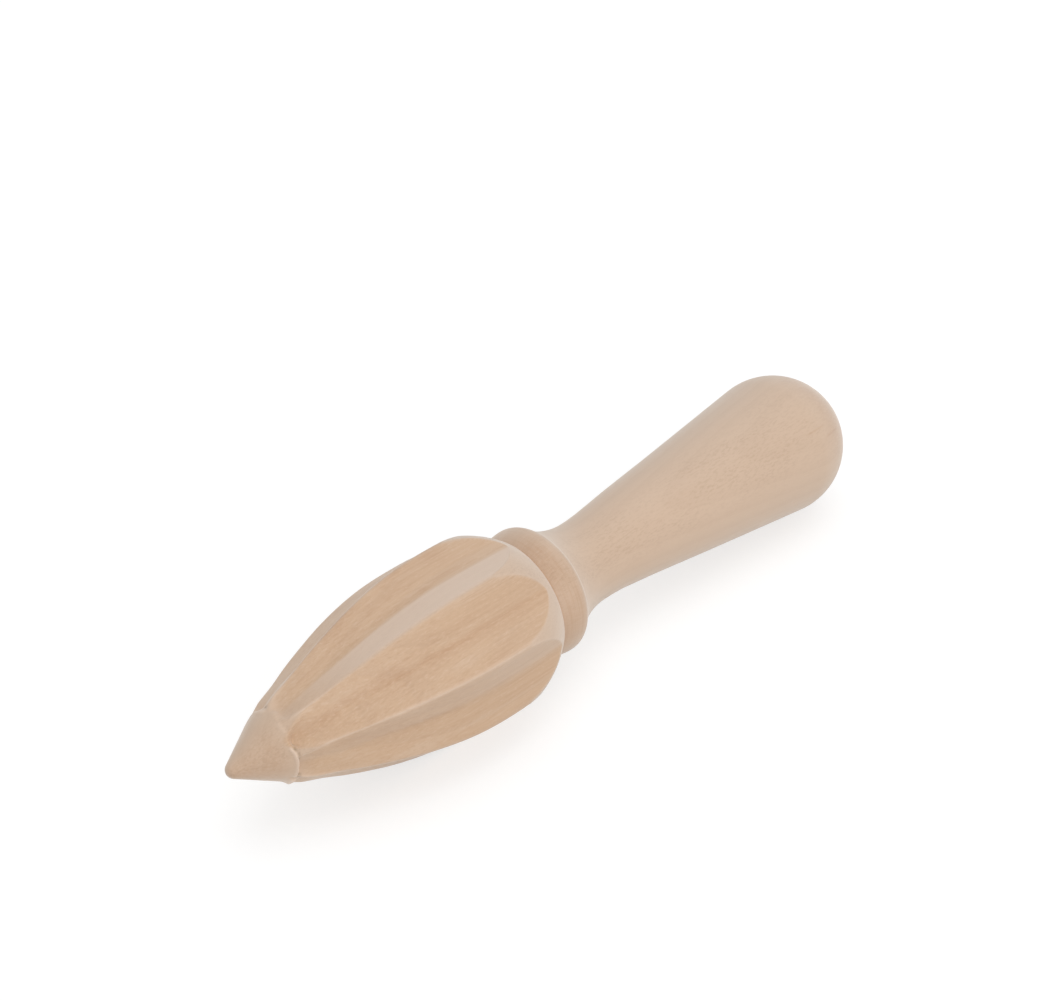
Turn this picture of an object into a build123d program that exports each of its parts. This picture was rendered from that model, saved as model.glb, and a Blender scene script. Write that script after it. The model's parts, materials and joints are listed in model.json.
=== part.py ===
from build123d import *
import os
from math import acos, atan2, cos, degrees, hypot, radians, sin, tan

# A wooden citrus reamer, turned in a lathe from one blank and then fluted.
# It is drawn about its own axis, with the tip at the origin and the handle towards +X.
# It is then laid down as it lies on a table, with +Z up. Sizes are in millimetres.

# Whole tool
overall_length = 166.0

# Nose: a plain cone with a blunt end, ahead of the flutes
tip_round_radius = 1.7
nose_half_angle = 31.3
nose_length = 13.4

# Head: the crests rise from the nose to the belly, and the shoulder rolls in behind it
head_length = 70.0
belly_radius = 19.0
crest_start_angle = 26.0
crest_run_rise_shares = ((0.263, 0.411), (0.502, 0.738), (0.742, 0.944))
shoulder_length = 15.0
shoulder_radius = 23.9

# Flutes: shallow V grooves with a rounded valley, side by side round the head
flute_count = 8
flute_start = 10.3
flute_depth = 3.26
flute_wall_angle = 16.0
flute_valley_radius = 3.0

# Groove and collar behind the head
groove_width = 0.65
groove_depth = 1.4
collar_front_length = 4.95
collar_radius = 13.65
collar_back_radius = 2.35
collar_back_turn_angle = 61.0

# Neck and grip: a hollow curve runs from the collar into the neck, the narrowest place
neck_behind_crown = 13.4
neck_radius = 8.8
grip_flare_radius = 58.7
grip_end_radius = 15.6

# Places that follow from the sizes above
full_turn = 360.0
flute_pitch = full_turn / flute_count
belly_position = head_length - shoulder_length
belly = (belly_position, belly_radius)
valley_radius = belly_radius - flute_depth
valley_share = valley_radius / belly_radius
head_back_drop = shoulder_radius - (shoulder_radius**2 - shoulder_length**2) ** 0.5
head_back = (head_length, belly_radius - head_back_drop)
groove_bottom = (head_length + groove_width, head_back[1] - groove_depth)
collar_crown = (groove_bottom[0] + collar_front_length, collar_radius)
neck_position = collar_crown[0] + neck_behind_crown
neck = (neck_position, neck_radius)
grip_end_centre = overall_length - grip_end_radius


def nose_radius(position):
    """Radius of the nose's cone at a distance from the tip."""
    lean = radians(nose_half_angle)
    cone_start = tip_round_radius * (1 - sin(lean))
    return tip_round_radius * cos(lean) + (position - cone_start) * tan(lean)


def crest_points():
    """Places on the crest line between the nose and the belly."""
    start_radius = nose_radius(nose_length)
    run = belly_position - nose_length
    rise = belly_radius - start_radius
    return [(nose_length + run * along, start_radius + rise * up) for along, up in crest_run_rise_shares]


def direction(angle):
    """Unit direction at an angle above the axis."""
    return (cos(radians(angle)), sin(radians(angle)))


def grip_angle():
    """Lean of the grip's straight taper, which touches both the flare and the round end."""
    across = grip_end_centre - neck_position
    down = neck_radius + grip_flare_radius
    reach = grip_flare_radius + grip_end_radius
    return degrees(atan2(across, down) - acos(reach / hypot(across, down)))


def turned_profile():
    """Half outline of the turned blank, from the tip along the surface and back along the axis."""
    lean = radians(nose_half_angle)
    tip = (0, 0)
    tip_side = (
        tip_round_radius * (1 - sin(lean)),
        tip_round_radius * cos(lean),
    )
    nose_end = (nose_length, nose_radius(nose_length))
    back_turn = radians(collar_back_turn_angle)
    collar_back = (
        collar_crown[0] + collar_back_radius * sin(back_turn),
        collar_radius - collar_back_radius * (1 - cos(back_turn)),
    )
    taper = radians(grip_angle())
    flare_end = (
        neck_position + grip_flare_radius * sin(taper),
        neck_radius + grip_flare_radius * (1 - cos(taper)),
    )
    grip_side = (
        grip_end_centre - grip_end_radius * sin(taper),
        grip_end_radius * cos(taper),
    )
    end = (overall_length, 0)
    outline = [
        TangentArc(tip, tip_side, tangent=(0, 1)),
        Line(tip_side, nose_end),
        Spline(nose_end, *crest_points(), belly, tangents=[direction(crest_start_angle), (1, 0)]),
        TangentArc(belly, head_back, tangent=(1, 0)),
        Line(head_back, groove_bottom),
        TangentArc(collar_crown, groove_bottom, tangent=(-1, 0)),
        TangentArc(collar_crown, collar_back, tangent=(1, 0)),
        TangentArc(neck, collar_back, tangent=(-1, 0)),
        TangentArc(neck, flare_end, tangent=(1, 0)),
        Line(flare_end, grip_side),
        TangentArc(end, grip_side, tangent=(0, 1)),
        Line(tip, end),
    ]
    return make_face(outline)


def flute_path():
    """Valley line of the flute that faces up: it follows the crests in, then runs straight out of the shoulder."""
    floor = [(along, out * valley_share) for along, out in crest_points()]
    start_slope = tan(radians(crest_start_angle)) * valley_share
    front = (flute_start, nose_radius(flute_start) * valley_share)
    lowest = (belly_position, valley_radius)
    behind = (head_length, valley_radius)
    rise = Spline(
        *[(along, 0, out) for along, out in [front, *floor, lowest]],
        tangents=[(1, 0, start_slope), (1, 0, 0)],
    )
    run_out = Line(*[(along, 0, out) for along, out in [lowest, behind]])
    return Wire([rise, run_out])


def flute_section(path):
    """Cross section of the cut: a shallow V with a rounded valley, open outwards past the blank."""
    wall = radians(flute_wall_angle)
    half_width = belly_radius
    valley_side = (
        flute_valley_radius * sin(wall),
        flute_valley_radius * (1 - cos(wall)),
    )
    wall_top = (half_width, valley_side[1] + (half_width - valley_side[0]) * tan(wall))
    above = wall_top[1] + belly_radius
    start = Plane(origin=path @ 0, x_dir=(0, 1, 0), z_dir=path % 0)
    mirrored = [(-x, y) for x, y in (valley_side, wall_top, (half_width, above))]
    outline = [
        ThreePointArc(mirrored[0], (0, 0), valley_side),
        Polyline(valley_side, wall_top, (half_width, above), mirrored[2], mirrored[1], mirrored[0]),
    ]
    return start * make_face(outline)


def fluted_tool():
    """The turned blank with its flutes cut, about its own axis."""
    blank = revolve(turned_profile(), Axis.X)
    path = flute_path()
    cut = sweep(flute_section(path), path)
    cuts = [Rot(flute_pitch * index, 0, 0) * cut for index in range(flute_count)]
    return blank - cuts


def rest_angle():
    """Lean of the axis when two crests and the round end touch the table, handle end lower."""
    wall = radians(flute_wall_angle)
    apex = valley_radius - flute_valley_radius * (1 / cos(wall) - 1)
    wall_reach = apex * cos(wall)
    crest_edge = min(acos(wall_reach / belly_radius) - wall, radians(flute_pitch) / 2)
    head_height = wall_reach * cos(crest_edge) / cos(crest_edge + wall)
    return degrees(atan2(head_height - grip_end_radius, grip_end_centre - belly_position))


def lying(tool):
    """The tool laid on two crests and the round end, its outer box centred over the origin."""
    leaning = Rot(0, rest_angle(), 0) * tool
    box = leaning.bounding_box()
    middle = box.center()
    return Pos(-middle.X, -middle.Y, -box.min.Z) * leaning


def main():
    os.makedirs("parts", exist_ok=True)
    tool = lying(fluted_tool())
    box = tool.bounding_box()
    print("reamer: solids", len(tool.solids()), "volume", round(tool.volume, 1))
    print("box", [round(v, 3) for v in (*box.min, *box.max)], "lean", round(rest_angle(), 3))
    export_step(tool, "parts/reamer.step")


main()
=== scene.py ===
"""Looks of a turned wooden citrus reamer: one beech blank with a fluted head, lying on its side.

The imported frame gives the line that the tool's axis lies on. The shape is worked out in millimetres
along that axis, with the tip at zero and the grip towards +X, and is turned into metres at the end.
An angle round the tool is zero at the top and grows towards the camera's side.
"""

import json
import logging
import math
from dataclasses import dataclass, field
from enum import Enum

import bpy
from mathutils import Matrix, Vector, noise

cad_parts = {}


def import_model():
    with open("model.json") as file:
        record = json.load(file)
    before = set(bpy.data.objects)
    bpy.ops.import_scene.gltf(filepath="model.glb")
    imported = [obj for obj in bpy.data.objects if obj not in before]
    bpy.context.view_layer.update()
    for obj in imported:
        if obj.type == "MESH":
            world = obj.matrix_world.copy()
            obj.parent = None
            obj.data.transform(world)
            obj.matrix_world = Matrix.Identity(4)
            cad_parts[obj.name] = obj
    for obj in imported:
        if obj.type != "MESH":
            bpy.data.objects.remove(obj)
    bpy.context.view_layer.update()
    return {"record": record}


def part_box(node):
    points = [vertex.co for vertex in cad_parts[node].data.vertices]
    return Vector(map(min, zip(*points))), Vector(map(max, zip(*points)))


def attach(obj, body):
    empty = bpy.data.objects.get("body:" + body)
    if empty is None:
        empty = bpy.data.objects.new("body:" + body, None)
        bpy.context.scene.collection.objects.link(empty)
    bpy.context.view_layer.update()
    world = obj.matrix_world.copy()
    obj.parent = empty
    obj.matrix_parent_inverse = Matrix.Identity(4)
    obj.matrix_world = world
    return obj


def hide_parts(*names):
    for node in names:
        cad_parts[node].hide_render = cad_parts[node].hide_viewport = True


NODE = "reamer"
BODY = "root"
MM = 0.001
FULL_TURN = 360.0
FLUTE_START = 10.3
CORRECTION_ROUNDS = 12
WHITE = (1.0, 1.0, 1.0, 1.0)

Point = tuple[float, float]
Triple = tuple[float, float, float]
Colour = Triple
Socket = bpy.types.NodeSocket

log = logging.getLogger("citrus_reamer")


class Mark(Enum):
    """What a vertex says about its place on the wood, for the finish to read."""

    FLUTED = "fluted"
    # painted highlights on the crests and raised lips, and painted reflection on one flute wall
    PAINTED_HIGHLIGHT = "arris"
    # torn wood, with painted shade in its hollows
    TORN_AND_SHADE = "torn"
    # dark lines of grain, and painted shade on the tool's shaded sides
    STREAK_AND_SHADE = "streak"
    COLLAR = "collar"


def spread(start: float, end: float, step: float) -> list[float]:
    """Gives evenly spaced values from a start up to, but without, an end, no further apart than a step."""
    count = max(1, math.ceil(abs(end - start) / step))
    return [start + (end - start) * index / count for index in range(count)]


def ease(low: float, high: float, value: float) -> float:
    """Gives a smooth step from 0 at low to 1 at high."""
    share = min(max((value - low) / (high - low), 0.0), 1.0)
    return share * share * (3 - 2 * share)


def plateau(low: float, high: float, soft: float, value: float) -> float:
    """Gives 1 between two ends and 0 outside them, with a soft step at each."""
    return ease(low - soft, low + soft, value) * (1 - ease(high - soft, high + soft, value))


def bell(value: float, width: float) -> float:
    """Gives a bell curve that is 1 at zero and fades over a width."""
    return math.exp(-((value / width) ** 2))


def on_circle(centre: Point, radius: float, angle: float) -> Point:
    """Gives the point of a circle at an angle in degrees."""
    turn = math.radians(angle)
    return centre[0] + radius * math.cos(turn), centre[1] + radius * math.sin(turn)


@dataclass(frozen=True)
class TurnedBlank:
    """The blank as the lathe leaves it: its outline, in millimetres and degrees."""

    overall_length: float = 166.0
    tip_round_radius: float = 1.7
    nose_half_angle: float = 31.3
    nose_length: float = 13.4
    head_length: float = 70.0
    belly_radius: float = 19.0
    crest_start_angle: float = 26.0
    crest_run_rise_shares: tuple[Point, ...] = ((0.263, 0.411), (0.502, 0.738), (0.742, 0.944))
    shoulder_length: float = 15.0
    shoulder_radius: float = 23.9
    groove_width: float = 0.65
    groove_depth: float = 1.4
    collar_front_length: float = 4.95
    collar_radius: float = 13.65
    collar_back_radius: float = 2.35
    collar_back_turn_angle: float = 61.0
    neck_behind_crown: float = 13.4
    neck_radius: float = 8.8
    grip_flare_radius: float = 58.7
    grip_end_radius: float = 15.6

    @property
    def belly_position(self) -> float:
        """Place of the widest part of the head."""
        return self.head_length - self.shoulder_length

    @property
    def cone_start(self) -> float:
        """Place where the tip's rounding meets the nose's cone."""
        return self.tip_round_radius * (1 - math.sin(math.radians(self.nose_half_angle)))

    @property
    def crown_position(self) -> float:
        """Place of the widest part of the collar."""
        return self.head_length + self.groove_width + self.collar_front_length

    def nose_radius(self, position: float) -> float:
        """Radius of the nose's cone at a place."""
        lean = math.radians(self.nose_half_angle)
        return self.tip_round_radius * math.cos(lean) + (position - self.cone_start) * math.tan(lean)

    def crest_knots(self) -> list[Triple]:
        """Works out what the crest line runs through.

        Returns:
            Places, radii and slopes, from the nose to the belly.
        """
        start_radius = self.nose_radius(self.nose_length)
        run = self.belly_position - self.nose_length
        rise = self.belly_radius - start_radius
        inner = [(self.nose_length + run * a, start_radius + rise * b) for a, b in self.crest_run_rise_shares]
        points = [(self.nose_length, start_radius), *inner, (self.belly_position, self.belly_radius)]
        slopes = [math.tan(math.radians(self.crest_start_angle))]
        for before, here, after in zip(points, points[1:], points[2:]):
            step_in, step_out = here[0] - before[0], after[0] - here[0]
            slope_in, slope_out = (here[1] - before[1]) / step_in, (after[1] - here[1]) / step_out
            slopes.append((step_out * slope_in + step_in * slope_out) / (step_in + step_out))
        slopes.append(0.0)
        return [(*point, slope) for point, slope in zip(points, slopes)]

    def crest_radius(self, position: float) -> float:
        """Follows the crest line between the nose and the belly.

        Args:
            position: The place along the axis.

        Returns:
            The radius on the smooth curve through the knots.
        """
        knots = self.crest_knots()
        for low, high in zip(knots, knots[1:]):
            if position <= high[0]:
                break
        run = high[0] - low[0]
        t = min(max((position - low[0]) / run, 0.0), 1.0)
        rest = 1 - t
        return (
            low[1] * rest * rest * (1 + 2 * t)
            + high[1] * t * t * (3 - 2 * t)
            + run * (low[2] * t * rest * rest - high[2] * t * t * rest)
        )

    def shoulder_radius_at(self, position: float) -> float:
        """Radius of the rolled shoulder at a place behind the belly."""
        along = position - self.belly_position
        return self.belly_radius - self.shoulder_radius + math.sqrt(self.shoulder_radius**2 - along**2)

    def shoulder_position(self, radius: float) -> float:
        """Place behind the belly where the shoulder has a radius."""
        drop = self.shoulder_radius - (self.belly_radius - radius)
        return self.belly_position + math.sqrt(self.shoulder_radius**2 - drop**2)

    def head_radius(self, position: float) -> float:
        """Radius of the unfluted head at a place."""
        if position < self.nose_length:
            return self.nose_radius(position)
        if position < self.belly_position:
            return self.crest_radius(position)
        return self.shoulder_radius_at(min(position, self.head_length))


@dataclass(frozen=True)
class Flutes:
    """The shallow V grooves round the head, in millimetres and degrees."""

    blank: TurnedBlank
    count: int = 8
    start: float = FLUTE_START
    depth: float = 3.26
    wall_angle: float = 16.0
    valley_radius: float = 3.0
    rear_drop: float = 0.4
    columns: int = 36

    @property
    def pitch(self) -> float:
        """Angle from one flute to the next."""
        return FULL_TURN / self.count

    @property
    def column_angle(self) -> float:
        """Angle between two lines of vertices along the tool."""
        return self.pitch / self.columns

    def floor(self, position: float) -> float:
        """Radius of the valley at a place: it follows the crest line, then runs on and dips a little."""
        share = (self.blank.belly_radius - self.depth) / self.blank.belly_radius
        along = min(position, self.blank.belly_position)
        behind = (position - along) / self.blank.shoulder_length
        return share * self.blank.head_radius(along) - self.rear_drop * behind**2

    def rise(self, sideways: float) -> float:
        """Height of the groove's section over its valley at a distance sideways."""
        wall = math.radians(self.wall_angle)
        bend = self.valley_radius * math.sin(wall)
        if sideways < bend:
            return self.valley_radius - math.sqrt(self.valley_radius**2 - sideways**2)
        return self.valley_radius * (1 - math.cos(wall)) + (sideways - bend) * math.tan(wall)

    def radius_at(self, position: float, angle: float) -> float:
        """Radius of a flute's surface.

        Args:
            position: The place along the axis.
            angle: The angle from the flute's valley, in degrees.

        Returns:
            The distance from the axis, found by a few rounds of correction.
        """
        probe = 0.5
        floor = self.floor(position)
        slope = (self.floor(position + probe) - self.floor(position - probe)) / (2 * probe)
        upright = math.sqrt(1 + slope * slope)
        turn = math.radians(abs(angle))
        radius = floor / math.cos(turn)
        for _ in range(CORRECTION_ROUNDS):
            radius = (floor + self.rise(radius * math.sin(turn)) * upright) / math.cos(turn)
        return radius

    def fold(self, angle: float) -> float:
        """Turns an angle round the tool into the angle from the nearest valley."""
        return (angle + self.pitch / 2) % self.pitch - self.pitch / 2

    def crest_share(self, angle: float) -> float:
        """Gives 0 in a valley and 1 on a crest."""
        return abs(self.fold(angle)) / (self.pitch / 2)

    def edge_positions(self) -> dict[int, float]:
        """Finds where a flute's rear edge crosses the lines of vertices.

        Returns:
            The place on the shoulder for each line, by its number from the valley.
        """
        places = {}
        for column in range(self.columns // 2):
            angle = column * self.column_angle
            place = self.blank.belly_position
            for _ in range(CORRECTION_ROUNDS):
                radius = min(self.radius_at(place, angle), self.blank.belly_radius)
                place = self.blank.shoulder_position(radius)
            if radius < self.blank.belly_radius:
                places[column] = place
        return places


@dataclass(frozen=True)
class Rows:
    """How closely the rings of vertices follow each other along the tool, in millimetres."""

    tip: float = 0.25
    nose: float = 0.75
    rim: float = 0.12
    rim_before: float = 2.6
    rim_behind: float = 1.6
    flute: float = 0.62
    shoulder: float = 0.45
    collar: float = 0.3
    cove: float = 0.6
    grip: float = 1.1
    end: float = 0.9


@dataclass
class Outline:
    """The half outline of the blank as a chain of points, close enough to be turned."""

    blank: TurnedBlank
    flutes: Flutes
    rows: Rows
    points: list[Point] = field(default_factory=list)

    def arc(self, centre: Point, radius: float, start: float, end: float, step: float) -> None:
        """Adds an arc between two angles in degrees, without its last point."""
        angles = spread(start, end, math.degrees(step / radius))
        self.points += [on_circle(centre, radius, angle) for angle in angles]

    def line(self, start: Point, end: Point, step: float) -> None:
        """Adds a straight stretch, without its last point."""
        for share in spread(0.0, 1.0, step / math.dist(start, end)):
            self.points.append(tuple(a + (b - a) * share for a, b in zip(start, end)))

    def head(self) -> None:
        """Adds the nose, the fluted stretch and the shoulder."""
        blank, flutes, rows = self.blank, self.flutes, self.rows
        rim_start, rim_end = flutes.start - rows.rim_before, flutes.start + rows.rim_behind
        edges = sorted(flutes.edge_positions().values())
        tip = blank.tip_round_radius
        self.arc((tip, 0), tip, 180, 90 + blank.nose_half_angle, rows.tip)
        places = [
            *spread(blank.cone_start, rim_start, rows.nose),
            *spread(rim_start, rim_end, rows.rim),
            *spread(rim_end, blank.belly_position, rows.flute),
            *spread(blank.belly_position, edges[0], rows.flute),
            *edges,
            *spread(edges[-1], blank.head_length, rows.shoulder)[1:],
        ]
        self.points += [(place, blank.head_radius(place)) for place in places]

    def collar(self) -> Point:
        """Adds the groove and the collar, and returns the collar's back edge."""
        blank, rows = self.blank, self.rows
        head_back = (blank.head_length, blank.head_radius(blank.head_length))
        bottom = (head_back[0] + blank.groove_width, head_back[1] - blank.groove_depth)
        crown = (blank.crown_position, blank.collar_radius)
        self.line(head_back, bottom, rows.collar)
        drop = crown[1] - bottom[1]
        front = (blank.collar_front_length**2 + drop**2) / (2 * drop)
        turn = math.degrees(math.asin(blank.collar_front_length / front))
        self.arc((crown[0], crown[1] - front), front, 90 + turn, 90, rows.collar)
        back = blank.collar_back_radius
        back_turn = 90 - blank.collar_back_turn_angle
        self.arc((crown[0], crown[1] - back), back, 90, back_turn, rows.collar)
        return on_circle((crown[0], crown[1] - back), back, back_turn)

    def grip(self, collar_back: Point) -> None:
        """Adds the hollow curve behind the collar, the neck and the grip."""
        blank, rows = self.blank, self.rows
        neck = (blank.crown_position + blank.neck_behind_crown, blank.neck_radius)
        run, drop = neck[0] - collar_back[0], collar_back[1] - neck[1]
        cove = (run**2 + drop**2) / (2 * drop)
        self.arc((neck[0], neck[1] + cove), cove, -90 - math.degrees(math.asin(run / cove)), -90, rows.cove)
        flare, end = blank.grip_flare_radius, blank.grip_end_radius
        flare_centre, end_centre = (neck[0], neck[1] + flare), (blank.overall_length - end, 0.0)
        across, down = end_centre[0] - flare_centre[0], flare_centre[1]
        taper = math.degrees(math.atan2(across, down) - math.acos((flare + end) / math.hypot(across, down)))
        self.arc(flare_centre, flare, -90, -90 + taper, rows.grip)
        grip_side = on_circle(end_centre, end, 90 + taper)
        self.line(on_circle(flare_centre, flare, -90 + taper), grip_side, rows.grip)
        self.arc(end_centre, end, 90 + taper, 0, rows.end)
        self.points.append((blank.overall_length, 0.0))

    def chain(self) -> list[Vector]:
        """Builds the whole chain, from the tip to the grip's end, above the axis."""
        self.head()
        self.grip(self.collar())
        return [Vector((along, 0, out)) for along, out in self.points]


@dataclass(frozen=True)
class Chip:
    """A small torn place behind the rim, in millimetres and degrees."""

    position: float
    angle: float
    length: float
    width: float
    depth: float


@dataclass(frozen=True)
class Streak:
    """A darker line along the tool: its angle, half width, ends and strength. Most are grain in a flute; some
    are painted shade on the tool's shaded sides.
    """

    angle: float
    width: float
    start: float
    end: float
    strength: float


@dataclass(frozen=True)
class Lip:
    """A stretch of the rim that stands up: its end angles, height and width along the tool."""

    low: float
    high: float
    height: float
    width: float
    soft: float = 4.0

    def rise(self, behind: float, angle: float) -> float:
        """How far the lip stands up at a distance behind the rim and at an angle."""
        return self.height * plateau(self.low, self.high, self.soft, angle) * bell(behind, self.width)


@dataclass(frozen=True)
class HandWorkAndPaintedLight:
    """What keeps a turned and fluted tool from being perfect, and where light and shade are painted on it, in
    millimetres and degrees.
    """

    rim_slopes: Point = (0.8, 2.0)
    rim_slope_reach: Point = (20.0, 48.0)
    rim_recesses: tuple[float, ...] = (1.2, 4.2, 4.2, 0.3, 0.3, 0.3, 0.3, 0.3)
    rim_roundness: float = 3.0
    square_angles: Point = (66.0, 74.0)
    square_ends: Point = (113.0, 122.0)
    rim_stations: tuple[Point, ...] = (
        (-180, 0), (-60, -0.4), (-36, -0.35), (-14, 0.05), (-2, 0.2), (16, -0.2), (32, -0.2), (44, -0.7),
        (57, -0.6), (68, -0.25), (81, -0.15), (95, -0.35), (114, -0.65), (134, -0.75), (150, -0.6), (180, 0),
    )
    lips: tuple[Lip, ...] = (
        Lip(55, 110, 0.24, 0.27),
        Lip(118, 146, 0.42, 0.50),
        Lip(-46, -16, 0.16, 0.40),
        Lip(12, 34, 0.07, 0.34),
    )
    crevice_depth: float = 0.20
    crevice_width: float = 0.17
    crevice_behind: float = 0.60
    crevice_starts: Point = (51.0, 57.0)
    crevice_ends: Point = (76.0, 84.0)
    crevice_breaks: float = 0.21
    crevice_seed: float = 3.0
    front_wear_position: float = 17.0
    front_wear_length: float = 4.2
    front_wear_depth: float = 0.5
    # painted highlight: where the crests' pale line widens near their front ends
    front_highlight_position: float = 12.0
    front_highlight_length: float = 6.0
    # painted highlight: a pale line along the middle stretch of one crest
    lit_crest_angle: float = 67.5
    lit_crest_width: float = 2.5
    lit_crest_starts: Point = (20.0, 30.0)
    lit_crest_ends: Point = (56.0, 64.0)
    lit_crest_share: float = 0.7
    # painted reflection: the angles of the upper flute's wall that is painted paler
    reflection_angles: Point = (2.0, 23.0)
    reflection_soft: float = 1.5
    reflection_strength: float = 0.9
    tone_runs: tuple[float, ...] = (3.0, -1.0, 2.6, 2.0, 2.0, 2.0, 2.0, 1.0)
    waviness: float = 0.07
    wave_scale: Triple = (0.05, 0.09, 0.09)
    bend_stations: tuple[Point, ...] = (
        (0, 0.55), (8, 0.46), (11.5, 0.20), (32, 0.10), (55, 0), (67, -0.10),
        (74, -0.17), (88, -0.15), (97, 0.02), (103, 0.08), (120, 0),
    )
    bend_direction: Triple = (0.0, 0.724, 0.689)
    ragged_share: float = 0.5
    ragged_scale: Point = (3.1, 0.45)
    chips: tuple[Chip, ...] = (
        Chip(10.5, 108, 0.30, 1.8, 0.16),
        Chip(10.4, 112.5, 0.34, 1.5, 0.20),
        Chip(10.9, 115, 0.5, 1.3, 0.14),
        Chip(11.25, -22, 0.26, 2.6, 0.16),
        Chip(10.6, 53, 0.2, 1.6, 0.14),
    )
    streak_fade_share: float = 0.25
    streak_sway: float = 0.12
    # dark lines of grain in the flutes and the grip, and painted shade where marked below
    grain_and_shade_streaks: tuple[Streak, ...] = (
        Streak(45, 2.2, 24, 68, 0.6),
        Streak(42, 7, 9, 21, 0.45),
        Streak(43, 4.5, 14, 36, 0.5),
        Streak(36, 1.1, 22, 52, 0.4),
        Streak(52, 1, 18, 40, 0.4),
        Streak(-3, 1.8, 20, 62, 0.35),
        Streak(-11, 1.4, 12, 44, 0.45),
        Streak(7, 0.9, 20, 50, 0.3),
        Streak(87, 3, 16, 60, 0.3),
        Streak(77, 1.6, 12, 40, 0.3),
        Streak(101, 1.2, 24, 60, 0.2),
        # painted shade: the far upper flute wall, which faces away from the light, darker
        Streak(-31, 10, 11, 64, 0.9),
        Streak(49, 1, 146, 153, 0.5),
        Streak(58, 0.9, 151, 157, 0.5),
        # painted shadow: the head's shadow on the collar's front, on its upper side
        Streak(14, 30, 69.8, 75.4, 0.55),
        # painted shade: the collar's lower side darker
        Streak(80, 28, 70.5, 79.5, 0.3),
        # painted shade: the nose darker on its lower side
        Streak(75, 75, -4, 10.4, 0.5),
        # painted shade: the grip's rounded end darker
        Streak(40, 120, 151, 171, 0.5),
    )

    def bend(self, position: float) -> Vector:
        """How far the tool's own axis strays from a straight line at a place."""
        return Vector(self.bend_direction) * self.between(self.bend_stations, position)

    def between(self, stations: tuple[Point, ...], place: float) -> float:
        """Gives a smooth value between the stations on both sides of a place."""
        for low, high in zip(stations, stations[1:]):
            if place <= high[0]:
                break
        return low[1] + (high[1] - low[1]) * ease(low[0], high[0], place)

    def square(self, angle: float) -> float:
        """How squarely the flutes begin at an angle: 1 behind the main lip, 0 elsewhere."""
        return ease(*self.square_angles, angle) * (1 - ease(*self.square_ends, angle))

    def flute_number(self, angle: float) -> int:
        """Number of the flute at an angle, counted from the one that faces up."""
        count = len(self.rim_recesses)
        return round(angle * count / FULL_TURN) % count

    def rim_place(self, angle: float) -> float:
        """Place of the flutes' front edge in a valley: it wanders a little."""
        return FLUTE_START + self.between(self.rim_stations, angle)

    def rim_shift(self, angle: float, crest_share: float) -> float:
        """How far back the flutes' front edge lies: it wanders, and arcs where a flute begins round."""
        recess = self.rim_recesses[self.flute_number(angle)] * (1 - self.square(angle))
        return self.between(self.rim_stations, angle) + recess * crest_share**self.rim_roundness

    def rim_slope(self, angle: float, shift: float) -> float:
        """How long the front edge's slope is: short at the lip, longer away from it and on the arcs."""
        low, high = self.rim_slopes
        away = abs(angle - (self.lips[0].low + self.lips[0].high) / 2)
        return low + (high - low) * ease(*self.rim_slope_reach, away) + max(shift, 0.0) / 2

    def lip(self, position: float, angle: float) -> float:
        """How far the rim's raised lips stand up at a place."""
        edge = self.rim_place(angle)
        return sum(lip.rise(position - edge, angle) for lip in self.lips)

    def streak_share(self, position: float, angle: float) -> float:
        """Adds up the listed dark lines: lines of grain, and painted shade on the tool's shaded sides.

        Args:
            position: The place along the axis.
            angle: The angle round the tool.

        Returns:
            How dark they are there, from 0 to 1.
        """
        share = 0.0
        for streak in self.grain_and_shade_streaks:
            fade = self.streak_fade_share * (streak.end - streak.start)
            along = ease(streak.start, streak.start + fade, position)
            along *= 1 - ease(streak.end - fade, streak.end, position)
            sway = streak.width * noise.noise(Vector((position * self.streak_sway, streak.angle, 0)))
            share += streak.strength * along * bell(angle - streak.angle - sway, streak.width)
        return min(1.0, share)

    def torn_depth(self, position: float, angle: float) -> float:
        """Adds up the chips and the broken crevice behind the main lip.

        Args:
            position: The place along the axis.
            angle: The angle round the tool.

        Returns:
            How deep the wood is torn there.
        """
        depth = 0.0
        scale_along, scale_around = self.ragged_scale
        for chip in self.chips:
            place = Vector((position * scale_along, angle * scale_around, chip.angle))
            ragged = 1 + self.ragged_share * noise.noise(place)
            along = (position - chip.position) / chip.length
            around = (angle - chip.angle) / chip.width
            depth += chip.depth * ragged * bell(math.hypot(along, around), 1.0)
        behind = self.rim_place(angle) + self.crevice_behind
        broken = max(0.0, 0.5 + noise.noise(Vector((angle * self.crevice_breaks, 0, self.crevice_seed))))
        broken *= ease(*self.crevice_starts, angle) * (1 - ease(*self.crevice_ends, angle))
        return depth + self.crevice_depth * broken * bell(position - behind, self.crevice_width)

    def front_wear(self, position: float, crest_share: float) -> float:
        """How much lower a crest is than the turned blank near the flutes' front ends."""
        along = bell(position - self.front_wear_position, self.front_wear_length)
        return self.front_wear_depth * along * crest_share**2

    def front_highlight(self, position: float) -> float:
        """How much wider and paler the painted highlight on the crests is at a place, most of all near their
        front ends.
        """
        return bell(position - self.front_highlight_position, self.front_highlight_length)

    def lit_crest(self, position: float, angle: float) -> float:
        """How much a place belongs to the one crest that gets a painted highlight, a pale line along its
        middle stretch.
        """
        along = ease(*self.lit_crest_starts, position) * (1 - ease(*self.lit_crest_ends, position))
        return self.lit_crest_share * along * bell(angle - self.lit_crest_angle, self.lit_crest_width)

    def painted_reflection(self, angle: float) -> float:
        """How strongly a painted reflection pales the wood at an angle: one wall of the upper flute stands
        out.
        """
        return self.reflection_strength * plateau(*self.reflection_angles, self.reflection_soft, angle)

    def hollow(self, place: Vector) -> float:
        """How far the slight waviness lies under the surface at a place."""
        coarse = noise.noise(Vector([value * scale for value, scale in zip(place, self.wave_scale)]))
        return self.waviness * (1 + coarse) / 2


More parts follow.
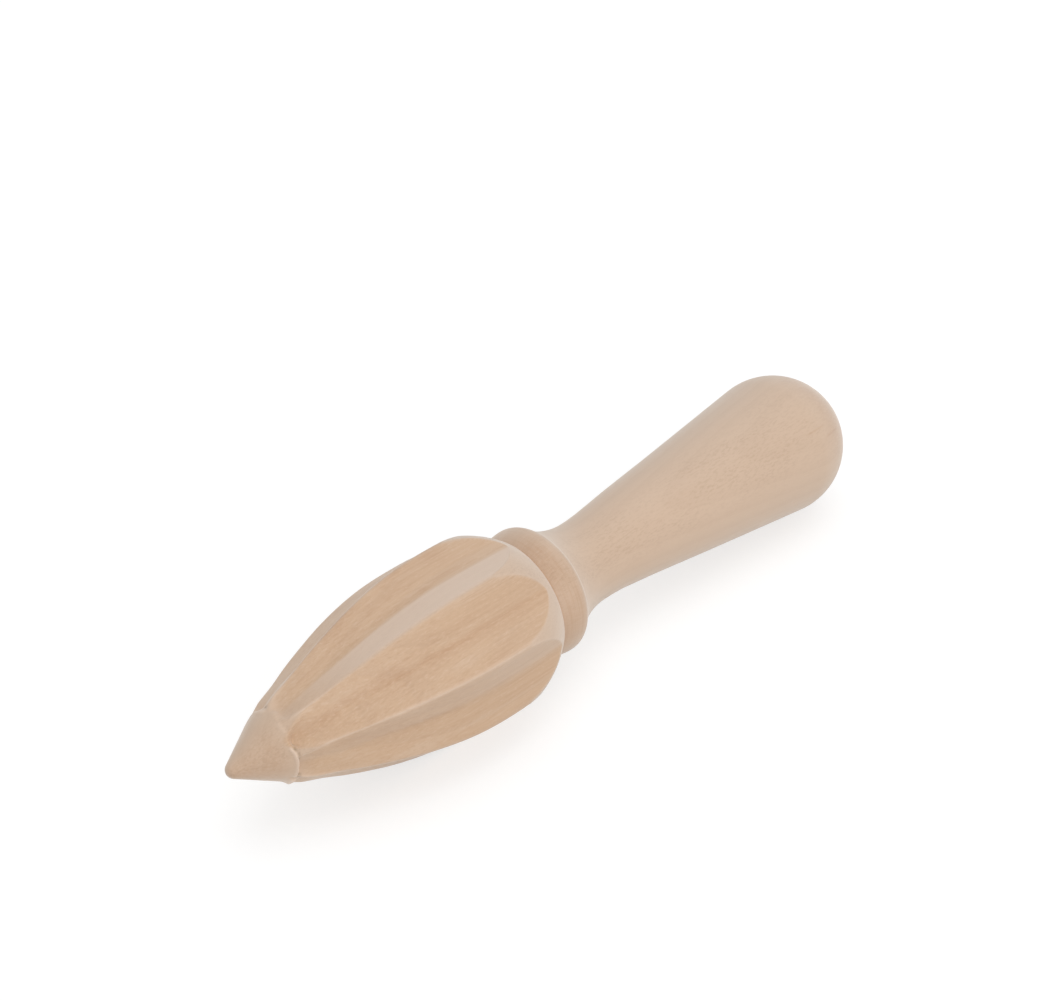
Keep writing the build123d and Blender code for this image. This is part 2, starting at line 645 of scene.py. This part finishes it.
@dataclass
class ReamerWood:
    """The whole tool as one piece of turned and fluted wood, in millimetres and degrees.

    Its place is the matrix from millimetres along its own axis to metres in the frame.
    """

    place: Matrix
    name: str = "reamer_wood"
    blank: TurnedBlank = TurnedBlank()
    flutes: Flutes = Flutes(blank)
    rows: Rows = Rows()
    work: HandWorkAndPaintedLight = HandWorkAndPaintedLight()
    piece: bpy.types.Object | None = None
    arris_width: float = 0.12
    # painted highlight along the crests: its widths under the edge and its shares, plain and widened
    highlight_widths: Point = (0.12, 0.30)
    highlight_shares: Point = (0.15, 0.50)
    # painted reflection on one flute wall: its share of the pale colour and its run along the tool
    reflection_share: float = 0.6
    reflection_run: Point = (8.0, 34.0)
    # lip height at which a raised lip's painted highlight is full
    lip_full: float = 0.30
    skin_depth: float = 0.08
    # depth at which a torn place is fully dark: torn wood, with painted shade in the hollow
    torn_full: float = 0.25
    same_place: float = 0.001
    same_column: float = 0.01
    smooth_angle: float = 38.0

    def turn_blank(self) -> None:
        """Draws the half outline as a chain of edges and spins it about the axis."""
        chain = Outline(self.blank, self.flutes, self.rows).chain()
        bpy.ops.mesh.primitive_plane_add(size=self.blank.tip_round_radius)
        self.piece = bpy.context.object
        self.piece.name = self.piece.data.name = self.name
        bpy.ops.object.mode_set(mode="EDIT")
        bpy.ops.mesh.select_mode(type="VERT")
        bpy.ops.mesh.select_all(action="SELECT")
        bpy.ops.mesh.merge(type="CENTER")
        for before, after in zip(chain, chain[1:]):
            bpy.ops.mesh.extrude_region_move(TRANSFORM_OT_translate={"value": after - before})
        bpy.ops.mesh.select_all(action="SELECT")
        steps = self.flutes.count * self.flutes.columns
        bpy.ops.mesh.spin(steps=steps, angle=math.tau, center=(0, 0, 0), axis=(1, 0, 0))
        bpy.ops.mesh.select_all(action="SELECT")
        bpy.ops.mesh.remove_doubles(threshold=self.same_place)
        bpy.ops.mesh.normals_make_consistent(inside=False)
        bpy.ops.object.mode_set(mode="OBJECT")

    def angle_of(self, place: Vector) -> float:
        """Angle round the tool of a place, from the top towards the camera's side."""
        return math.degrees(math.atan2(-place.y, place.z))

    def on_head(self, along: float) -> bool:
        """Tells whether a place lies between the rim's front and the groove."""
        return self.flutes.start - self.rows.rim_before <= along < self.blank.head_length

    def cut_flutes(self) -> None:
        """Moves the head's vertices in to the flutes' surface, and shapes the rim in front of them."""
        for vertex in self.piece.data.vertices:
            along = vertex.co.x
            if not self.on_head(along):
                continue
            radius = math.hypot(vertex.co.y, vertex.co.z)
            angle = self.angle_of(vertex.co)
            crest_share = self.flutes.crest_share(angle)
            shift = self.work.rim_shift(angle, crest_share)
            edge = self.flutes.start + shift
            cut = self.flutes.radius_at(along, self.flutes.fold(angle))
            share = ease(edge, edge + self.work.rim_slope(angle, shift), along)
            new = min(radius, radius + (cut - radius) * share) + self.work.lip(along, angle)
            new -= self.work.front_wear(along, crest_share)
            vertex.co.yz = vertex.co.yz * (new / radius)

    def arris_points(self) -> list[int]:
        """Finds the vertices on the crests and on the flutes' rear edges.

        Returns:
            Their numbers in the mesh.
        """
        edges = self.flutes.edge_positions()
        last_crest = min(edges.values())
        first_crest = self.flutes.start + max(self.work.rim_recesses)
        found = []
        for vertex in self.piece.data.vertices:
            along = vertex.co.x
            if not first_crest < along < self.blank.head_length:
                continue
            column = abs(self.flutes.fold(self.angle_of(vertex.co))) / self.flutes.column_angle
            nearest = round(column)
            if abs(column - nearest) > self.same_column:
                continue
            on_crest = nearest == self.flutes.columns // 2 and along < last_crest - self.same_place
            on_edge = nearest in edges and abs(along - edges[nearest]) < self.same_place
            if on_crest or on_edge:
                found.append(vertex.index)
        return found

    def soften_arrises(self) -> None:
        """Joins the arris vertices across the faces and bevels the edges between them."""
        found = self.arris_points()
        bpy.ops.object.mode_set(mode="EDIT")
        bpy.ops.mesh.select_all(action="DESELECT")
        bpy.ops.object.mode_set(mode="OBJECT")
        for index in found:
            self.piece.data.vertices[index].select = True
        bpy.ops.object.mode_set(mode="EDIT")
        bpy.ops.mesh.vert_connect()
        bpy.ops.mesh.bevel(offset=self.arris_width, segments=2, affect="EDGES", clamp_overlap=True)
        bpy.ops.mesh.select_all(action="SELECT")
        bpy.ops.mesh.normals_make_consistent(inside=False)
        bpy.ops.object.mode_set(mode="OBJECT")

    def mark_surfaces(self) -> None:
        """Writes on each vertex how fluted, torn, streaked or collar-like it is, and where highlights and
        shade are painted, for the finish.
        """
        mesh = self.piece.data
        for mark in Mark:
            mesh.attributes.new(mark.value, "FLOAT", "POINT")
        marks = {mark: mesh.attributes[mark.value].data for mark in Mark}
        for vertex in mesh.vertices:
            along, angle = vertex.co.x, self.angle_of(vertex.co)
            shares = self.head_shares(along, angle) if self.on_head(along) else {}
            # dark lines of grain, and painted shade on the tool's shaded sides
            shares[Mark.STREAK_AND_SHADE] = self.work.streak_share(along, angle)
            shares[Mark.COLLAR] = self.collar_share(along)
            for mark, share in shares.items():
                marks[mark][vertex.index].value = share

    def head_shares(self, along: float, angle: float) -> dict[Mark, float]:
        """Works out how fluted and torn the head is at a place, and where highlights and shade are painted on
        it.

        Args:
            along: The place along the axis.
            angle: The angle round the tool.

        Returns:
            A share from 0 to 1 for each of these marks.
        """
        flutes, work = self.flutes, self.work
        shift = work.rim_shift(angle, flutes.crest_share(angle))
        edge = flutes.start + shift
        slope = work.rim_slope(angle, shift)
        behind_rim = ease(edge, edge + slope, along)
        turned = self.blank.head_radius(along)
        fold = abs(flutes.fold(angle))
        own, other = flutes.radius_at(along, fold), flutes.radius_at(along, flutes.pitch - fold)
        under_skin = ease(0.0, self.skin_depth, turned - own)
        # painted reflection: one wall of the upper flute loses the cut wood's tone and turns pale
        reflected = work.painted_reflection(angle) * ease(*self.reflection_run, along)
        tone_run = work.tone_runs[work.flute_number(angle)]
        opened = ease(edge - slope / 2, edge + slope + tone_run, along) * (1 - reflected)
        gap = abs(other - own) if own < turned else turned
        # painted highlight along the crests and the edges of the flutes
        crest_highlight = behind_rim * self.crest_highlight(along, angle, min(abs(turned - own), gap))
        # smooth is the painted reflection's share of the pale highlight colour
        smooth = self.reflection_share * reflected * behind_rim * under_skin
        # the raised lips take the painted highlight too
        lip = min(1.0, work.lip(along, angle) / self.lip_full)
        return {
            Mark.FLUTED: opened * under_skin,
            Mark.PAINTED_HIGHLIGHT: max(crest_highlight, smooth, lip),
            # torn wood, darker the deeper it is torn: its own colour, with painted shade in the hollow
            Mark.TORN_AND_SHADE: min(1.0, work.torn_depth(along, angle) / self.torn_full),
        }

    def crest_highlight(self, along: float, angle: float, depth: float) -> float:
        """How pale the painted highlight makes a crest at a place and a depth under its edge."""
        # rounding is how far the painted highlight widens and pales here
        rounding = max(self.work.front_highlight(along), self.work.lit_crest(along, angle))
        width, share = (low + (high - low) * rounding for low, high in (self.highlight_widths, self.highlight_shares))
        return share * bell(depth, width)

    def collar_share(self, along: float) -> float:
        """How much a place along the tool belongs to the collar's rounded ring."""
        back = self.blank.crown_position + self.blank.collar_back_radius
        return plateau(self.blank.head_length, back, self.blank.groove_width, along)

    def age_and_bend(self) -> None:
        """Adds the torn places, a slight waviness and the tool's own bend."""
        for vertex in self.piece.data.vertices:
            place = vertex.co.copy()
            outward = Vector((0, place.y, place.z))
            radius = outward.length
            if radius < self.same_place:
                vertex.co += self.work.bend(place.x)
                continue
            outward /= radius
            depth = self.work.torn_depth(place.x, self.angle_of(place)) + self.work.hollow(place)
            vertex.co += self.work.bend(place.x) - outward * depth

    def build(self) -> bpy.types.Object:
        """Models the piece and returns it in its place, in metres."""
        self.turn_blank()
        self.cut_flutes()
        self.soften_arrises()
        self.mark_surfaces()
        self.age_and_bend()
        mesh = self.piece.data
        mesh.transform(self.place)
        mesh.update()
        bpy.ops.object.shade_smooth_by_angle(angle=math.radians(self.smooth_angle))
        log.info("%s: %d faces", self.name, len(mesh.polygons))
        return self.piece


def tool_place(frame: dict) -> Matrix:
    """Works out where the tool's axis lies from the grip mount and the outer box.


    Returns:
        A matrix from millimetres along the axis to metres in the frame.
    """
    grip = next(mount for mount in frame["record"]["mounts"] if mount["name"] == "grip")
    along = Vector(grip["axis"]).normalized()
    low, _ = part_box(NODE)
    on_axis = Vector(grip["pos_m"])
    tip = on_axis + along * ((low.x - on_axis.x) / along.x)
    side = Vector((0, 1, 0))
    up = along.cross(side)
    turned = Matrix((along, side, up)).transposed().to_4x4()
    return Matrix.Translation(tip) @ turned @ Matrix.Scale(MM, 4)


@dataclass(frozen=True)
class Pattern:
    """A noise pattern: its scale along each axis of the tool, its detail and its roughness."""

    scale: Triple
    detail: float = 2.0
    roughness: float = 0.5


@dataclass(frozen=True)
class Span:
    """A smooth map from one range of values to another."""

    low: float
    high: float
    out_low: float = 0.0
    out_high: float = 1.0

    def inputs(self) -> dict[str, float]:
        """Names the ends the way the Map Range node does."""
        return {"From Min": self.low, "From Max": self.high, "To Min": self.out_low, "To Max": self.out_high}


class NodeBench:
    """Adds and links shader nodes in one tree."""

    def __init__(self, tree: bpy.types.NodeTree) -> None:
        """Keeps the tree and empties it."""
        self.tree = tree
        tree.nodes.clear()

    def add(self, kind: str, inputs: dict | None = None, **settings: object) -> bpy.types.Node:
        """Adds a node.

        Args:
            kind: The node's type name.
            inputs: Values or output sockets for its inputs, by name or number.
            settings: Values for its own properties.

        Returns:
            The new node.
        """
        node = self.tree.nodes.new(kind)
        for name, value in settings.items():
            setattr(node, name, value)
        for name, value in (inputs or {}).items():
            if isinstance(value, Socket):
                self.tree.links.new(value, node.inputs[name])
            else:
                node.inputs[name].default_value = value
        return node

    def math(self, operation: str, *values: Socket | float) -> Socket:
        """Adds a Math node on numbers or sockets and returns its output."""
        return self.add("ShaderNodeMath", dict(enumerate(values)), operation=operation).outputs[0]

    def times(self, first: Socket, second: Socket | float) -> Socket:
        """Multiplies a socket by another one or by a number."""
        return self.math("MULTIPLY", first, second)

    def vector(self, operation: str, *values: Socket | Triple) -> bpy.types.Node:
        """Adds a Vector Math node on vectors or sockets."""
        return self.add("ShaderNodeVectorMath", dict(enumerate(values)), operation=operation)

    def steps(self, value: Socket, span: Span) -> Socket:
        """Maps a range of values smoothly to another range."""
        inputs = {"Value": value, **span.inputs()}
        return self.add("ShaderNodeMapRange", inputs, interpolation_type="SMOOTHSTEP").outputs["Result"]

    def mix(self, share: Socket, first: Socket | Colour, second: Colour) -> Socket:
        """Mixes two colours and returns the result."""
        base = (*first, 1.0) if isinstance(first, tuple) else first
        return self.add("ShaderNodeMix", {0: share, 6: base, 7: (*second, 1.0)}, data_type="RGBA").outputs[2]


class WoodBench(NodeBench):
    """A bench that also knows where the grain runs and what the marks on the wood say."""

    def __init__(self, tree: bpy.types.NodeTree, place: Matrix) -> None:
        """Turns Object coordinates into millimetres along the tool's own axis, and reads the marks.

        Args:
            tree: The material's tree.
            place: The matrix from millimetres along the tool's axis to metres in the frame.
        """
        super().__init__(tree)
        back = place.inverted()
        inputs = {
            "Vector": self.add("ShaderNodeTexCoord").outputs["Object"],
            "Location": back.to_translation(),
            "Rotation": back.to_3x3().normalized().to_euler(),
            "Scale": (1 / MM, 1 / MM, 1 / MM),
        }
        self.grain = self.add("ShaderNodeMapping", inputs, vector_type="POINT").outputs[0]
        self.marks = {
            mark: self.add("ShaderNodeAttribute", attribute_name=mark.value).outputs["Fac"] for mark in Mark
        }

    def noise(self, pattern: Pattern) -> Socket:
        """Adds a noise pattern on the grain and returns its value."""
        inputs = {
            "Vector": self.vector("MULTIPLY", self.grain, pattern.scale).outputs[0],
            "Scale": 1.0,
            "Detail": pattern.detail,
            "Roughness": pattern.roughness,
        }
        return self.add("ShaderNodeTexNoise", inputs).outputs["Fac"]

    def by_fluting(self, shares: Point) -> Socket:
        """Runs smoothly from one share on turned wood to another on fluted wood."""
        return self.steps(self.marks[Mark.FLUTED], Span(0.0, 1.0, *shares))


@dataclass(frozen=True)
class Veil:
    """A thin coat of colour where a pattern is seen, with its shares on turned and on fluted wood."""

    seen: Span
    shares: Point
    colour: Colour

    def coat(self, bench: WoodBench, pattern: Socket) -> tuple[Socket, Colour]:
        """Gives the coat's share and its colour."""
        return bench.times(bench.steps(pattern, self.seen), bench.by_fluting(self.shares)), self.colour


@dataclass(frozen=True)
class BeechFinish:
    """Bare, close-grained beech with a dusty sheen, and painted highlights and painted shade in its colour.

    Colours are linear and sizes in millimetres. A pair of shares is for turned and for fluted wood.
    """

    turned: Colour = (0.60, 0.44, 0.32)
    fluted: Colour = (0.575, 0.385, 0.245)
    # dark colour of the grain lines, also laid on as painted shade through the streak mark
    dark_streak: Colour = (0.44, 0.245, 0.13)
    pale_streak: Colour = (0.64, 0.475, 0.345)
    ring_line: Colour = (0.45, 0.30, 0.20)
    fleck: Colour = (0.36, 0.225, 0.14)
    # pale colour of the painted highlights and painted reflection; the pale dashes of grain use it too
    arris: Colour = (0.76, 0.59, 0.47)
    # dark colour of the torn places: the torn wood's own colour, with painted shade in the chips and the
    # crevice
    torn: Colour = (0.20, 0.13, 0.06)
    highlight_share: float = 0.85
    torn_and_shade_share: float = 0.8
    broad_grain: Pattern = Pattern((0.010, 0.30, 0.30), 3.0, 0.6)
    dark_bands: Veil = Veil(Span(0.50, 0.72), (0.04, 0.22), dark_streak)
    pale_bands: Veil = Veil(Span(0.46, 0.30), (0.08, 0.35), pale_streak)
    fine_grain: Pattern = Pattern((0.07, 2.6, 2.6), 3.0, 0.65)
    dark_lines: Veil = Veil(Span(0.48, 0.70), (0.05, 0.26), dark_streak)
    pale_lines: Veil = Veil(Span(0.46, 0.28), (0.0, 0.26), pale_streak)
    streak_strength: Span = Span(0.25, 0.65, 0.3, 0.75)
    pith: Triple = (0.0, -39.0, 49.5)
    ring_spacing: float = 2.6
    ring_stretch: Triple = (0.03, 1.0, 1.0)
    ring_wander: Pattern = Pattern((0.010, 0.05, 0.05), 1.0)
    ring_wander_reach: float = 3.0
    ring_rise: Span = Span(0.35, 0.92)
    ring_fall: Span = Span(0.93, 1.0, 1.0, 0.0)
    ring_shares: Point = (0.10, 0.12)
    specks: Pattern = Pattern((0.8, 2.7, 2.7), 2.0, 0.7)
    speck_strength: Span = Span(0.47, 0.65, 0.3, 1.0)
    speck_facing: Span = Span(0.68, 0.97, 0.04, 0.31)
    speck_shares: Point = (1.0, 0.6)
    patches: Pattern = Pattern((0.05, 0.16, 0.16))
    patch_strength: Span = Span(0.38, 0.60, 0.55, 1.0)
    pale_dashes: Veil = Veil(Span(0.46, 0.30), (0.04, 0.14), arris)
    collar_hoops: Pattern = Pattern((4.0, 0.10, 0.10), 2.0, 0.6)
    hoop_strength: Span = Span(0.45, 0.70, 0.3, 1.0)
    hoop_share: float = 0.34
    fibres: Pattern = Pattern((0.05, 3.2, 3.2), 3.0, 0.6)
    fibre_heights: Point = (0.15, 0.8)
    pores: Pattern = Pattern((1.4, 4.5, 4.5))
    pore_height: float = 0.5
    lathe_hoops: Pattern = Pattern((2.6, 0.05, 0.05), 2.0, 0.6)
    lathe_heights: Point = (0.25, 0.0)
    relief_strength: float = 0.5
    relief_depth: float = 0.06
    roughness: Span = Span(0.3, 0.7, 0.45, 0.60)
    refraction: float = 1.5
    sheen: float = 0.72
    sheen_tint: Colour = (1.0, 0.975, 0.94)
    sheen_roughness: float = 0.5

    def make(self, place: Matrix) -> bpy.types.Material:
        """Builds the material.

        Args:
            place: The matrix from millimetres along the tool's axis to metres in the frame.

        Returns:
            The material, which reads Object coordinates and the mesh's marks.
        """
        material = bpy.data.materials.new("bare_beech")
        material.use_nodes = True
        bench = WoodBench(material.node_tree, place)
        fibres = bench.noise(self.fibres)
        shader = bench.add("ShaderNodeBsdfPrincipled", {
            "Base Color": self.colour(bench),
            "Roughness": bench.steps(fibres, self.roughness),
            "IOR": self.refraction,
            "Sheen Weight": self.sheen,
            "Sheen Roughness": self.sheen_roughness,
            "Sheen Tint": (*self.sheen_tint, 1.0),
            "Normal": self.relief(bench, fibres),
        })
        bench.add("ShaderNodeOutputMaterial", {"Surface": shader.outputs[0]})
        return material

    def colour(self, bench: WoodBench) -> Socket:
        """Builds the colour: the turned skin is calm, the flutes show more of the grain, and painted
        highlights and shade lie over both.

        Args:
            bench: The material's bench.

        Returns:
            The colour under all of its coats.
        """
        marks = bench.marks
        broad, fine, specks = map(bench.noise, (self.broad_grain, self.fine_grain, self.specks))
        hoops = bench.steps(bench.noise(self.collar_hoops), self.hoop_strength)
        coats = (
            self.dark_bands.coat(bench, broad),
            self.pale_bands.coat(bench, broad),
            (bench.times(self.rings(bench), bench.by_fluting(self.ring_shares)), self.ring_line),
            self.dark_lines.coat(bench, fine),
            self.pale_lines.coat(bench, fine),
            # dark lines of grain, and painted shade on the tool's shaded sides
            (bench.times(marks[Mark.STREAK_AND_SHADE], bench.steps(fine, self.streak_strength)), self.dark_streak),
            (self.flecks(bench, specks), self.fleck),
            self.pale_dashes.coat(bench, specks),
            (bench.times(hoops, bench.times(marks[Mark.COLLAR], self.hoop_share)), self.dark_streak),
            # painted highlights on the crests and raised lips, and painted reflection on one flute wall
            (bench.times(marks[Mark.PAINTED_HIGHLIGHT], self.highlight_share), self.arris),
            # torn places: the torn wood's own colour, with painted shade in the hollows
            (bench.times(marks[Mark.TORN_AND_SHADE], self.torn_and_shade_share), self.torn),
        )
        tone = bench.mix(marks[Mark.FLUTED], self.turned, self.fluted)
        for share, colour in coats:
            tone = bench.mix(share, tone, colour)
        return tone

    def rings(self, bench: WoodBench) -> Socket:
        """Gives growth rings about a pith outside the blank, as a share from 0 to 1."""
        moved = bench.vector("SUBTRACT", bench.grain, self.pith).outputs[0]
        flat = bench.vector("MULTIPLY", moved, self.ring_stretch).outputs[0]
        distance = bench.vector("LENGTH", flat).outputs["Value"]
        wander = bench.times(bench.noise(self.ring_wander), self.ring_wander_reach)
        turns = bench.math("DIVIDE", bench.math("ADD", distance, wander), self.ring_spacing)
        phase = bench.math("FRACT", turns)
        return bench.times(bench.steps(phase, self.ring_rise), bench.steps(phase, self.ring_fall))

    def flecks(self, bench: WoodBench, specks: Socket) -> Socket:
        """Gives how strongly the rays show as flecks: in patches, and less in the flutes."""
        speck = bench.times(bench.steps(specks, self.speck_strength), self.flat_sawn(bench))
        patches = bench.steps(bench.noise(self.patches), self.patch_strength)
        return bench.times(speck, bench.times(patches, bench.by_fluting(self.speck_shares)))

    def flat_sawn(self, bench: WoodBench) -> Socket:
        """Gives how strong the flecks are: most on the sides that face the pith or away from it."""
        across = bench.vector("MULTIPLY", bench.grain, (0, 1, 1)).outputs[0]
        around = bench.vector("NORMALIZE", across).outputs[0]
        facing = bench.vector("DOT_PRODUCT", around, Vector(self.pith).normalized()).outputs["Value"]
        return bench.steps(bench.math("ABSOLUTE", facing), self.speck_facing)

    def relief(self, bench: WoodBench, fibres: Socket) -> Socket:
        """Builds the fine relief: fibres along the grain and the lathe's hoops round the turned parts."""
        fibre = bench.times(fibres, bench.by_fluting(self.fibre_heights))
        pores = bench.times(bench.noise(self.pores), self.pore_height)
        lathe = bench.times(bench.noise(self.lathe_hoops), bench.by_fluting(self.lathe_heights))
        height = bench.math("ADD", bench.math("ADD", fibre, pores), lathe)
        inputs = {"Strength": self.relief_strength, "Distance": self.relief_depth * MM, "Height": height}
        return bench.add("ShaderNodeBump", inputs).outputs[0]


@dataclass(frozen=True)
class Lamp:
    """A square soft lamp that points at the tool. Its power is in watts, its place and side in metres."""

    name: str
    place: Triple
    power: float
    size: float

    def hang(self) -> None:
        """Adds the lamp."""
        bpy.ops.object.light_add(type="AREA", location=self.place)
        lamp = bpy.context.object
        lamp.name = self.name
        lamp.data.energy = self.power
        lamp.data.size = self.size
        lamp.rotation_euler = (-Vector(self.place)).to_track_quat("-Z", "Y").to_euler()


@dataclass(frozen=True)
class Studio:
    """The plain pale room: floor, air, lamps and camera. Lengths are in metres, angles in degrees."""

    floor_size: float = 6.0
    floor_colour: Colour = (0.66, 0.635, 0.60)
    shown_floor: Colour = (0.42, 0.42, 0.42)
    floor_glow: float = 0.66
    sky_strength: float = 0.655
    lamps: tuple[Lamp, ...] = (
        Lamp("key_lamp", (0.10, -0.08, 0.97), 2.68, 0.8),
        Lamp("fill_lamp", (-0.15, -0.96, 0.24), 3.0, 0.48),
    )
    camera_aim: Triple = (0.02854, 0.03960, 0.0)
    camera_distance: float = 0.41340
    camera_azimuth: float = -44.86
    camera_elevation: float = 36.33
    camera_clip_start: float = 0.01
    lens: float = 62.70
    sensor: float = 36.0

    def make_floor(self) -> None:
        """Adds the floor that the tool lies on."""
        bpy.ops.mesh.primitive_plane_add(size=self.floor_size, location=(0, 0, 0))
        floor = bpy.context.object
        floor.name = "floor"
        material = bpy.data.materials.new("pale_floor")
        material.use_nodes = True
        bench = NodeBench(material.node_tree)
        path = bench.add("ShaderNodeLightPath")
        bounce = bench.add("ShaderNodeBsdfDiffuse", {"Color": (*self.floor_colour, 1.0)})
        shadow = bench.add("ShaderNodeBsdfDiffuse", {"Color": (*self.shown_floor, 1.0)})
        glow = bench.add("ShaderNodeEmission", {"Color": WHITE, "Strength": self.floor_glow})
        shown = bench.add("ShaderNodeAddShader", {0: shadow.outputs[0], 1: glow.outputs[0]})
        by_camera = {0: path.outputs["Is Camera Ray"], 1: bounce.outputs[0], 2: shown.outputs[0]}
        mixed = bench.add("ShaderNodeMixShader", by_camera)
        white = bench.add("ShaderNodeEmission", {"Color": WHITE, "Strength": 1.0})
        mirrored = bench.math("MAXIMUM", path.outputs["Is Glossy Ray"], path.outputs["Is Transmission Ray"])
        surface = bench.add("ShaderNodeMixShader", {0: mirrored, 1: mixed.outputs[0], 2: white.outputs[0]})
        bench.add("ShaderNodeOutputMaterial", {"Surface": surface.outputs[0]})
        floor.data.materials.append(material)
        log.info("floor: %.1f m", self.floor_size)

    def make_sky(self) -> None:
        """Makes the air round the tool an even white that the camera and reflections see in full."""
        world = bpy.data.worlds.new("white_room")
        world.use_nodes = True
        bpy.context.scene.world = world
        bench = NodeBench(world.node_tree)
        path = bench.add("ShaderNodeLightPath")
        seen = bench.math("MAXIMUM", path.outputs["Is Camera Ray"], path.outputs["Is Glossy Ray"])
        seen = bench.math("MAXIMUM", seen, path.outputs["Is Transmission Ray"])
        light = bench.add("ShaderNodeBackground", {"Color": WHITE, "Strength": self.sky_strength})
        shown = bench.add("ShaderNodeBackground", {"Color": WHITE, "Strength": 1.0})
        mixed = bench.add("ShaderNodeMixShader", {0: seen, 1: light.outputs[0], 2: shown.outputs[0]})
        bench.add("ShaderNodeOutputWorld", {"Surface": mixed.outputs[0]})

    def make_camera(self) -> None:
        """Adds the camera at the photograph's angle."""
        turn, rise = math.radians(self.camera_azimuth), math.radians(self.camera_elevation)
        away = Vector((math.sin(turn) * math.cos(rise), -math.cos(turn) * math.cos(rise), math.sin(rise)))
        bpy.ops.object.camera_add(location=Vector(self.camera_aim) + away * self.camera_distance)
        camera = bpy.context.object
        camera.name = "camera"
        camera.rotation_euler = (math.pi / 2 - rise, 0, turn)
        camera.data.lens = self.lens
        camera.data.sensor_width = self.sensor
        camera.data.clip_start = self.camera_clip_start
        bpy.context.scene.camera = camera

    def build(self) -> None:
        """Builds the whole studio."""
        self.make_floor()
        self.make_sky()
        for lamp in self.lamps:
            lamp.hang()
        self.make_camera()
        bpy.context.scene.view_settings.view_transform = "Standard"


def main() -> None:
    """Loads the frame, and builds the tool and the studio."""
    logging.basicConfig(level=logging.INFO, format="%(name)s %(message)s")
    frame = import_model()
    place = tool_place(frame)
    Studio().build()
    wood = ReamerWood(place).build()
    wood.data.materials.append(BeechFinish().make(place))
    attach(wood, BODY)
    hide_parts(NODE)


if __name__ == "__main__":
    main()
